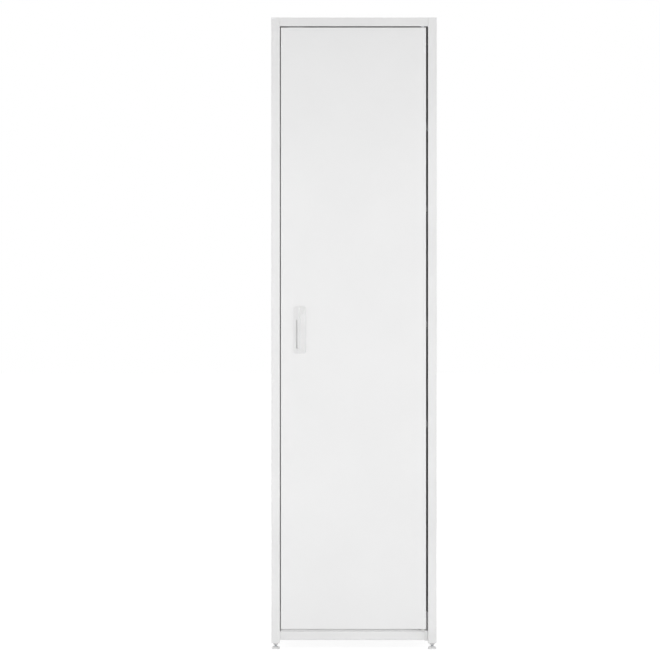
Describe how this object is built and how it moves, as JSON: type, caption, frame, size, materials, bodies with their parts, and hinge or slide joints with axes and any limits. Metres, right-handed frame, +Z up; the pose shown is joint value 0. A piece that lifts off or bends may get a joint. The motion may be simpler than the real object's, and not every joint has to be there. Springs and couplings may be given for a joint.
{
  "type": "single-door steel cupboard",
  "caption": "Tall narrow white steel cupboard on levelling feet: square-tube frame, one flush pivoted door with a moulded pull handle, shelves on slotted uprights.",
  "frame": {"origin": "on the floor, under the centre of the cupboard's box, the door grip included", "axes": "+Z up, the door at the front (-Y), the hinge side at +X"},
  "size_m": [0.5, 0.51, 1.91],
  "materials": {
    "frame_coat": "satin white powder coat on tube",
    "panel_coat": "satin white powder coat on sheet",
    "door_coat": "satin white powder coat on sheet",
    "bracket_coat": "satin powder coat",
    "handle_plastic": "moulded, fine matt grain",
    "foot_plastic": "moulded, matt",
    "plug_plastic": "moulded, matt",
    "catch_plastic": "moulded, satin",
    "bush_plastic": "moulded, natural",
    "zinc_steel": "bright zinc plate",
    "magnet_ferrite": "pressed, matt dark grey"
  },
  "bodies": {
    "carcass": {"back_panel": "panel_coat", "bottom_pivot_bracket": "bracket_coat", "bottom_pivot_pin": "zinc_steel", "bottom_pivot_spacer": "bush_plastic", "bottom_rail_front": "frame_coat", "bottom_rail_left": "frame_coat", "bottom_rail_rear": "frame_coat", "bottom_rail_right": "frame_coat", "floor_tray": "panel_coat", "foot_inserts": "plug_plastic", "lower_catch_housing": "catch_plastic", "lower_catch_magnet": "magnet_ferrite", "post_caps": "plug_plastic", "post_front_left": "frame_coat", "post_front_right": "frame_coat", "post_rear_left": "frame_coat", "post_rear_right": "frame_coat", "shelf_1": "panel_coat", "shelf_1_clips": "zinc_steel", "shelf_2": "panel_coat", "shelf_2_clips": "zinc_steel", "shelf_3": "panel_coat", "shelf_3_clips": "zinc_steel", "shelf_4": "panel_coat", "shelf_4_clips": "zinc_steel", "side_panel_left": "panel_coat", "side_panel_right": "panel_coat", "top_panel": "panel_coat", "top_pivot_nut": "zinc_steel", "top_pivot_pin": "zinc_steel", "top_rail_front": "frame_coat", "top_rail_left": "frame_coat", "top_rail_rear": "frame_coat", "top_rail_right": "frame_coat", "upper_catch_housing": "catch_plastic", "upper_catch_magnet": "magnet_ferrite", "upright_front_left": "panel_coat", "upright_front_right": "panel_coat", "upright_rear_left": "panel_coat", "upright_rear_right": "panel_coat"},
    "door": {"door_outer_skin": "door_coat", "door_inner_skin": "door_coat", "door_stiffener": "panel_coat", "top_pivot_bush": "bush_plastic", "bottom_pivot_bush": "bush_plastic", "handle": "handle_plastic", "upper_strike_plate": "zinc_steel", "lower_strike_plate": "zinc_steel"},
    "foot_front_left": {"foot_base_front_left": "foot_plastic", "foot_stem_front_left": "zinc_steel"},
    "foot_front_right": {"foot_base_front_right": "foot_plastic", "foot_stem_front_right": "zinc_steel"},
    "foot_rear_left": {"foot_base_rear_left": "foot_plastic", "foot_stem_rear_left": "zinc_steel"},
    "foot_rear_right": {"foot_base_rear_right": "foot_plastic", "foot_stem_rear_right": "zinc_steel"}
  },
  "joints": [
    {"name": "door_hinge", "type": "hinge", "parent": "carcass", "child": "door", "pos_m": [0.208, -0.235, 0.97075], "axis": [0, 0, 1], "range_deg": [0, 105]},
    {"name": "foot_front_left_screw", "type": "slide", "parent": "carcass", "child": "foot_front_left", "axis": [0, 0, -1], "range_m": [-0.003, 0.015]},
    {"name": "foot_front_right_screw", "type": "slide", "parent": "carcass", "child": "foot_front_right", "axis": [0, 0, -1], "range_m": [-0.003, 0.015]},
    {"name": "foot_rear_left_screw", "type": "slide", "parent": "carcass", "child": "foot_rear_left", "axis": [0, 0, -1], "range_m": [-0.003, 0.015]},
    {"name": "foot_rear_right_screw", "type": "slide", "parent": "carcass", "child": "foot_rear_right", "axis": [0, 0, -1], "range_m": [-0.003, 0.015]}
  ]
}
